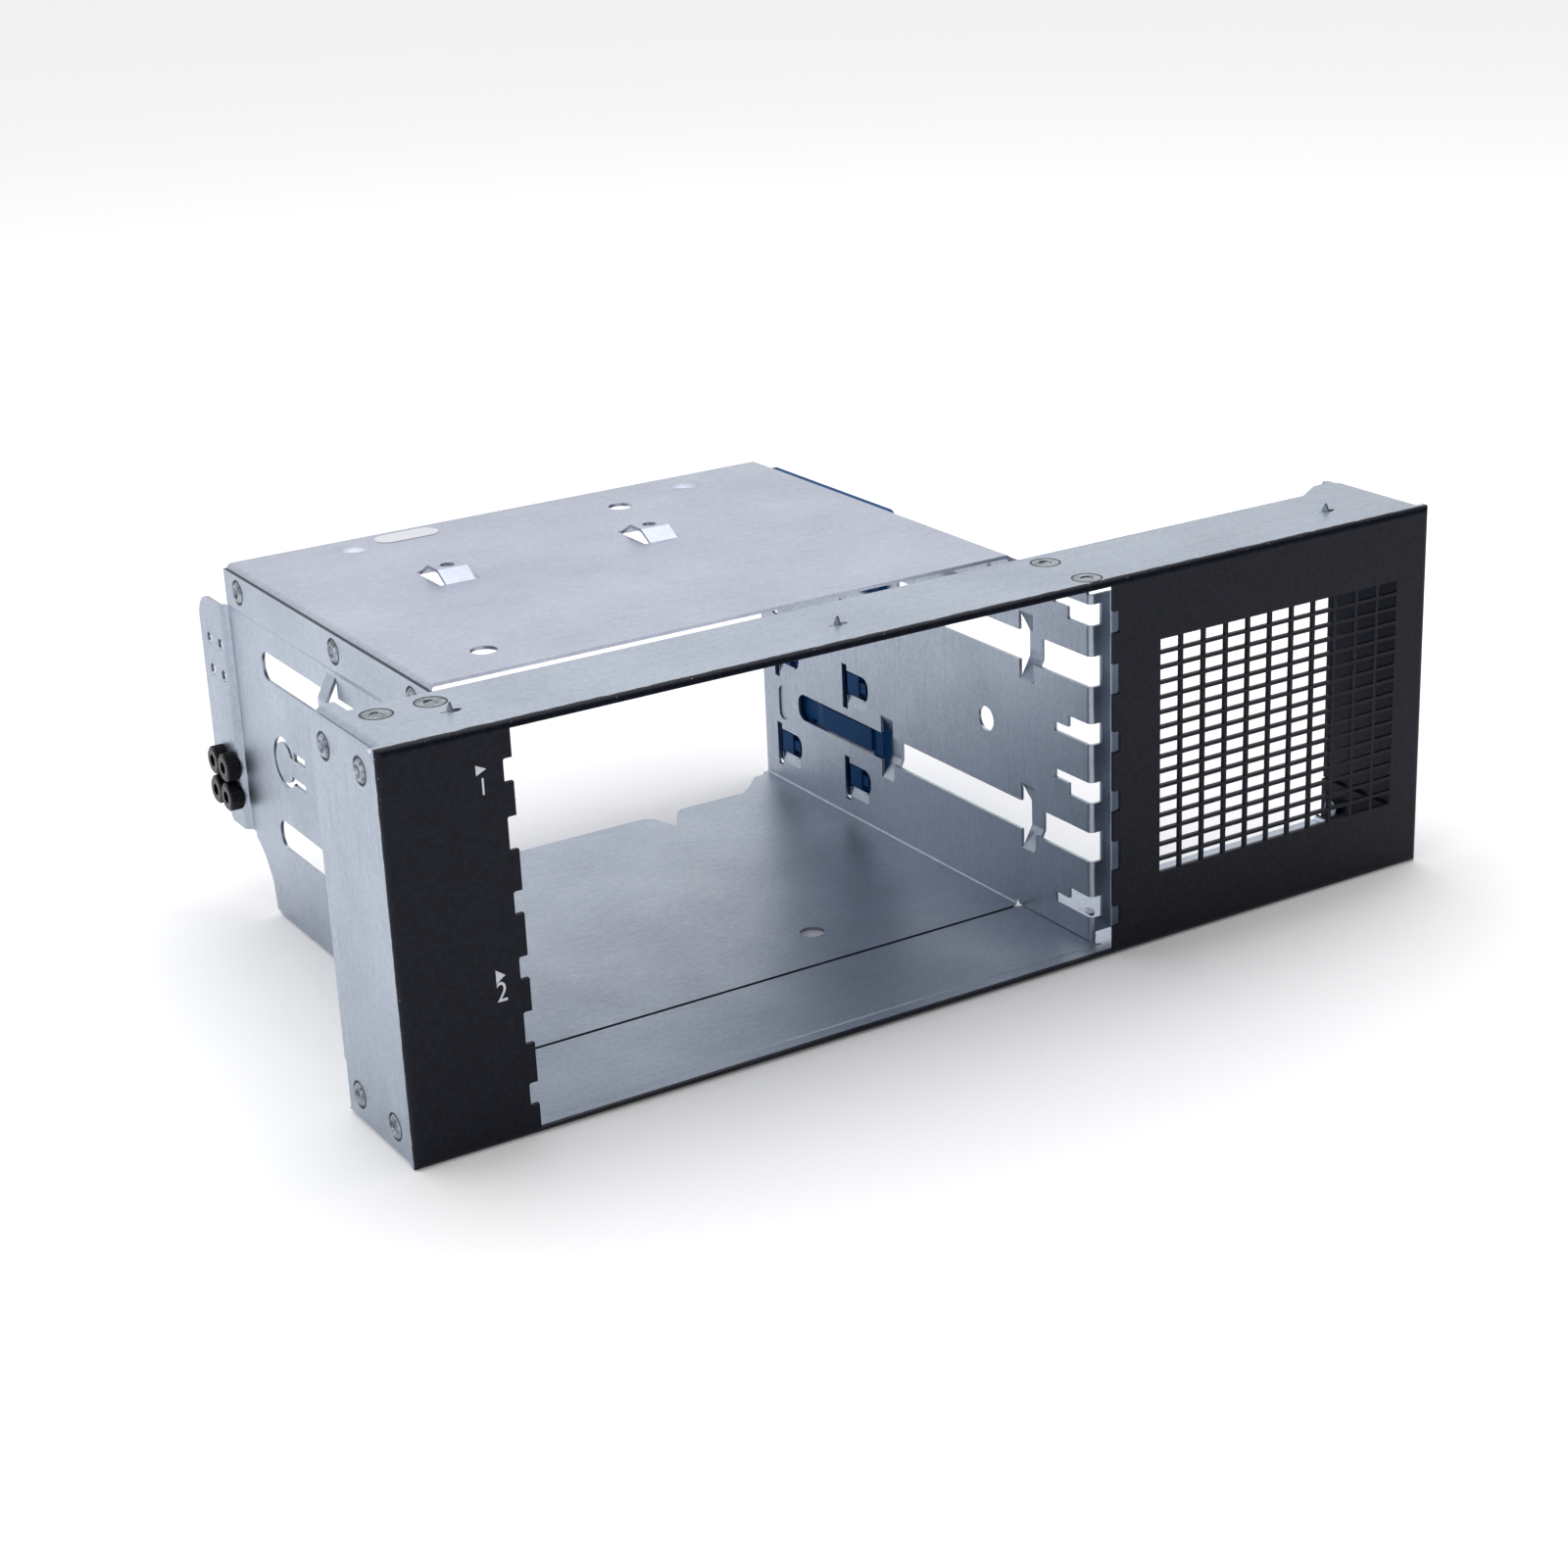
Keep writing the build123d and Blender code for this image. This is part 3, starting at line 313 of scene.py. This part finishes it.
# %% Polyester film
tint_size = 3 * mm
film, film_shader, film_place = new_material("white_polyester_film")
tint = add_node(film, "TexNoise", Vector=film_place, Scale=1 / tint_size, Detail=2.0)
tone = add_node(film, "Mix", {"data_type": "RGBA"}, i0=tint, i6=linear("#CFD0DA"), i7=linear("#DEDFE7"))
feed(film, film_shader, Base_Color=tone, Roughness=0.35)
give_finish(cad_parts["label"], film)

# %% [markdown]
# ## Printed bay numbers
# Each bay has a small triangle and a number, screen printed in white on the black face.
# A print could be a mask in the paint's material, but a thin piece has crisp edges in any
# render, so each mark is a film 0.03 mm thick. The ink is matt, and wears a little unevenly.

# %% White screen ink
ink_thickness = 0.03 * mm
wear_size = 0.4 * mm
ink, ink_shader, ink_place = new_material("white_screen_ink")
wear = add_node(ink, "TexNoise", Vector=ink_place, Scale=1 / wear_size, Detail=2.0)
tone = add_node(ink, "Mix", {"data_type": "RGBA"}, i0=wear, i6=linear("#C4C6CE"), i7=linear("#EBECF0"))
feed(ink, ink_shader, Base_Color=tone, Roughness=0.6)


def keep_piece(mesh, finish):
    """A finished mesh as a piece of the scene, on the cage's one body and with its finish's slot."""
    mesh.materials.append(finish)
    piece = bpy.data.objects.new(mesh.name, mesh)
    bpy.context.scene.collection.objects.link(piece)
    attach(piece, "root")


def mesh_from(shape, name):
    """The mesh of a closed shape, its faces turned outwards."""
    bmesh.ops.recalc_face_normals(shape, faces=shape.faces)
    mesh = bpy.data.meshes.new(name)
    shape.to_mesh(mesh)
    shape.free()
    return mesh


print("Ink is", ink_thickness / mm, "mm thick")

# %% [markdown]
# ## Triangles and digits
# A triangle starts from its three corners and gets its thickness from solidify. A digit starts
# as a text curve, which becomes a mesh before it is scaled, stood upright and put in place.
# All places are in millimetres from the face's lower left corner.

# %% Print the marks of both bays
digit_narrowing = 0.85


def triangle_mark(name, corners):
    """A thin printed triangle between three corners."""
    shape = bmesh.new()
    shape.faces.new([shape.verts.new((front_low.x + x * mm, front_low.y - ink_thickness,
                                      front_low.z + z * mm)) for x, z in corners])
    bmesh.ops.recalc_face_normals(shape, faces=shape.faces)
    bmesh.ops.solidify(shape, geom=shape.faces[:], thickness=-ink_thickness)
    keep_piece(mesh_from(shape, name), ink)


def number_mark(name, digit, middle, foot, tall):
    """A thin printed digit, centred across, with its foot at one height."""
    text = bpy.data.curves.new(name, "FONT")
    text.body = digit
    text.extrude = ink_thickness / 2
    holder = bpy.data.objects.new(name + "_outline", text)
    bpy.context.scene.collection.objects.link(holder)
    bpy.context.view_layer.update()
    mesh = bpy.data.meshes.new_from_object(holder.evaluated_get(bpy.context.evaluated_depsgraph_get()))
    bpy.data.objects.remove(holder)
    mesh.name = name
    across, up = [point.co.x for point in mesh.vertices], [point.co.y for point in mesh.vertices]
    scale = tall * mm / (max(up) - min(up))
    centred = Matrix.Translation((-(min(across) + max(across)) / 2, -min(up), 0))
    sized = Matrix.Diagonal((digit_narrowing * scale, scale, 1, 1))
    stood = Matrix.Translation((front_low.x + middle * mm, front_low.y - ink_thickness / 2,
                                front_low.z + foot * mm)) @ Matrix.Rotation(radians(90), 4, "X")
    mesh.transform(stood @ sized @ centred)
    keep_piece(mesh, ink)


for digit, corners, middle, foot, tall in (
        ("1", ((20.4, 83.3), (20.4, 81.1), (22.7, 82.2)), 21.75, 76.9, 3.5),
        ("2", ((21.0, 39.2), (21.0, 36.2), (23.1, 37.7)), 22.1, 32.1, 4.3)):
    triangle_mark("printed_arrow_" + digit, corners)
    number_mark("printed_number_" + digit, digit, middle, foot, tall)
    print("Bay", digit, "is marked", foot, "mm up the face")

# %% [markdown]
# ## Knurled screw heads
# The four spare screws have ribs all round their heads, to turn them by hand. The ribs are too
# fine for the solids, so each head gets a collar: two rings of points, the outer one toothed,
# bridged into a flat band and extruded to the head's height.

# %% A ribbed collar round each screw head
rib_count = 30
rib_height = 0.16 * mm
head_length = 3.2 * mm
collar_wall = 0.5 * mm
collar_rim = 0.35 * mm


def raised_band(inner, outer, height, points, rib=0.0):
    """A flat ring between two radii, raised along Z, with every other point of its rim a rib out."""
    shape = bmesh.new()
    rim = bmesh.ops.create_circle(shape, segments=points, radius=outer)["verts"]
    bmesh.ops.scale(shape, verts=rim[1::2], vec=[1 + rib / outer] * 3)
    bmesh.ops.create_circle(shape, segments=points, radius=inner)
    band = bmesh.ops.bridge_loops(shape, edges=shape.edges[:])["faces"]
    raised = bmesh.ops.extrude_face_region(shape, geom=band)["geom"]
    bmesh.ops.translate(shape, verts=[part for part in raised if isinstance(part, bmesh.types.BMVert)],
                        vec=(0, 0, height))
    return shape


def turn_and_move(shape, outward, place):
    """Turns a shape's Z along a direction and puts its foot at a place."""
    turned = Vector(outward).to_track_quat("Z", "Y").to_matrix().to_4x4()
    bmesh.ops.transform(shape, verts=shape.verts, matrix=Matrix.Translation(place) @ turned)


for name in sorted(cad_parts):
    if name.startswith("ear_screw"):
        low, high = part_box(name)
        radius = (high.z - low.z) / 2
        collar = raised_band(radius - collar_wall, radius, head_length - collar_rim,
                             2 * rib_count, rib_height)
        middle = (low + high) / 2
        turn_and_move(collar, (-1, 0, 0), (low.x + head_length, middle.y, middle.z))
        keep_piece(mesh_from(collar, name + "_ribs"), black_oxide)
        print(name, "has", rib_count, "ribs round a head of", round(2 * radius / mm, 1), "mm")

# %% [markdown]
# ## Painted shade round the rivets
# A dark ring round each rivet's head is painted shade, the shade of the narrow gap there. A mask
# in the sheet's material would need every rivet's place, so each ring is a thin flat band of dark
# colour instead, a hair above the sheet, made in the same way as the collars.

# %% A ring of painted shade round each rivet
ring_width = 0.45 * mm
ring_lift = 0.02 * mm
ring_points = 40
shade_mottle_size = 0.5 * mm
# Painted shade: a dark, slightly mottled colour for the ring round each rivet head.
bare_steel, rivet_shade_shader, rivet_shade_place = new_material("bare_steel_ring")
shade_mottle = add_node(bare_steel, "TexNoise", Vector=rivet_shade_place, Scale=0.5 / shade_mottle_size, Detail=2.0)
tone = add_node(bare_steel, "Mix", {"data_type": "RGBA"},
                i0=shade_mottle, i6=linear("#1B1D22"), i7=linear("#3C404A"))
feed(bare_steel, rivet_shade_shader, Base_Color=tone, Metallic=0.7, Roughness=0.5)

dome_rise = 0.5 * mm
ring_kinds = {"top_rivet": ((0, 0, 1), 0), "left_flange": ((-1, 0, 0), dome_rise),
              "right_flange": ((1, 0, 0), dome_rise), "plate_rivet_left": ((-1, 0, 0), dome_rise),
              "plate_rivet_right": ((1, 0, 0), dome_rise)}
for name in sorted(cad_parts):
    for start, (outward, rise) in ring_kinds.items():
        if name.startswith(start):
            low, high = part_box(name)
            outward = Vector(outward)
            reach = abs((high - low).dot(outward)) / 2 - rise
            radius = (high.y - low.y) / 2
            ring = raised_band(radius, radius + ring_width, ring_lift, ring_points)
            turn_and_move(ring, outward, (low + high) / 2 + outward * reach)
            keep_piece(mesh_from(ring, name + "_ring"), bare_steel)
print("Each ring is", ring_width / mm, "mm wide")

# %% [markdown]
# ## Studio
# The cage stands on a pale floor under a large soft light, as in a product photograph.
# Polished metal shows what it reflects, so the surroundings matter as much as the lamps: they
# are white behind the cage and dark on the camera's side, which the walls and paint mirror.
# The paper glows a little away from the cage and not beside it: painted light, which grows with
# the distance from the cage's middle.

# %% Floor
floor_reach = 30.0
floor_glow = 0.38
floor_shape = bmesh.new()
bmesh.ops.create_grid(floor_shape, x_segments=1, y_segments=1, size=floor_reach)
bmesh.ops.translate(floor_shape, verts=floor_shape.verts, vec=(0, 0, cad_low.z))
floor = bpy.data.objects.new("studio_floor", mesh_from(floor_shape, "studio_floor"))
bpy.context.scene.collection.objects.link(floor)
paper, paper_shader, paper_place = new_material("pale_floor")
# Painted light: the floor's glow is nothing within 60 mm of the middle and grows to full strength at 250 mm.
from_middle = add_node(paper, "VectorMath", {"operation": "LENGTH"}, i0=paper_place)
glow = add_node(paper, "MapRange", i0=from_middle, i1=60 * mm, i2=250 * mm, i3=0.0, i4=floor_glow)
feed(paper, paper_shader, Base_Color=linear("#FAFAFC"), Roughness=0.9,
     Emission_Color=linear("#FFFFFF"), Emission_Strength=glow)
floor.data.materials.append(paper)
print("The floor reaches", floor_reach, "m each way")

# %% [markdown]
# ## Surroundings
# The world's light follows the direction that one looks in: it rises from the camera's side
# to the backdrop. A pale band along the horizon keeps a view from behind from showing a dark
# stripe over the floor.

# %% Light from all round
room_light, backdrop_light, horizon_light = 0.1, 1.02, 0.85
world = bpy.data.worlds.new("studio_surroundings")
bpy.context.scene.world = world
world.use_nodes = True
direction = add_node(world, "SeparateXYZ", Vector=add_node(world, "TexCoord").outputs["Generated"])
brightness = add_node(world, "MapRange", i0=direction.outputs["Y"], i1=-0.3, i2=0.55,
                      i3=room_light, i4=backdrop_light)
horizon = add_node(world, "MapRange", i0=direction.outputs["Z"], i1=0.1, i2=0.25,
                   i3=horizon_light, i4=0.0)
brightness = add_node(world, "Math", {"operation": "MAXIMUM"}, i0=brightness, i1=horizon)
feed(world, world.node_tree.nodes["Background"], Color=linear("#FFFFFF"), Strength=brightness)
print("The surroundings go from", room_light, "in front to", backdrop_light, "behind")

# %% [markdown]
# ## Lights
# One large lamp overhead gives the soft top light, and a weaker one at the left keeps the
# outer wall bright enough to show its slots and rivets.

# %% Softboxes
def softbox(name, place, aim, size, power):
    """A square area light at one place that shines at another."""
    light = bpy.data.lights.new(name, "AREA")
    light.size = size
    light.energy = power
    lamp = bpy.data.objects.new(name, light)
    lamp.location = place
    lamp.rotation_euler = (Vector(aim) - Vector(place)).to_track_quat("-Z", "Y").to_euler()
    bpy.context.scene.collection.objects.link(lamp)
    print(name, "gives", power, "W")


softbox("overhead_light", (0.1, 0.1, 0.9), (0, 0, 0), 0.9, 5.0)
softbox("left_light", (-0.9, -0.3, 0.45), (0, 0, 0.05), 0.6, 1.3)

# %% [markdown]
# ## Camera
# The camera stands where the photographer's did: its place, its direction and its lens were
# fitted to the edges of the front and of the cover.

# %% The photograph's camera
camera_data = bpy.data.cameras.new("photo_camera")
camera_data.lens = 65.48
camera_data.sensor_width = 36.0
camera = bpy.data.objects.new("photo_camera", camera_data)
camera.location = (-331.61 * mm, -565.83 * mm, 275.40 * mm)
camera.rotation_euler = Euler((radians(69.181), radians(2.388), radians(-31.690)))
bpy.context.scene.collection.objects.link(camera)
bpy.context.scene.camera = camera
bpy.context.scene.view_settings.view_transform = "Standard"
print("The camera is", round(camera.location.length, 3), "m from the cage")
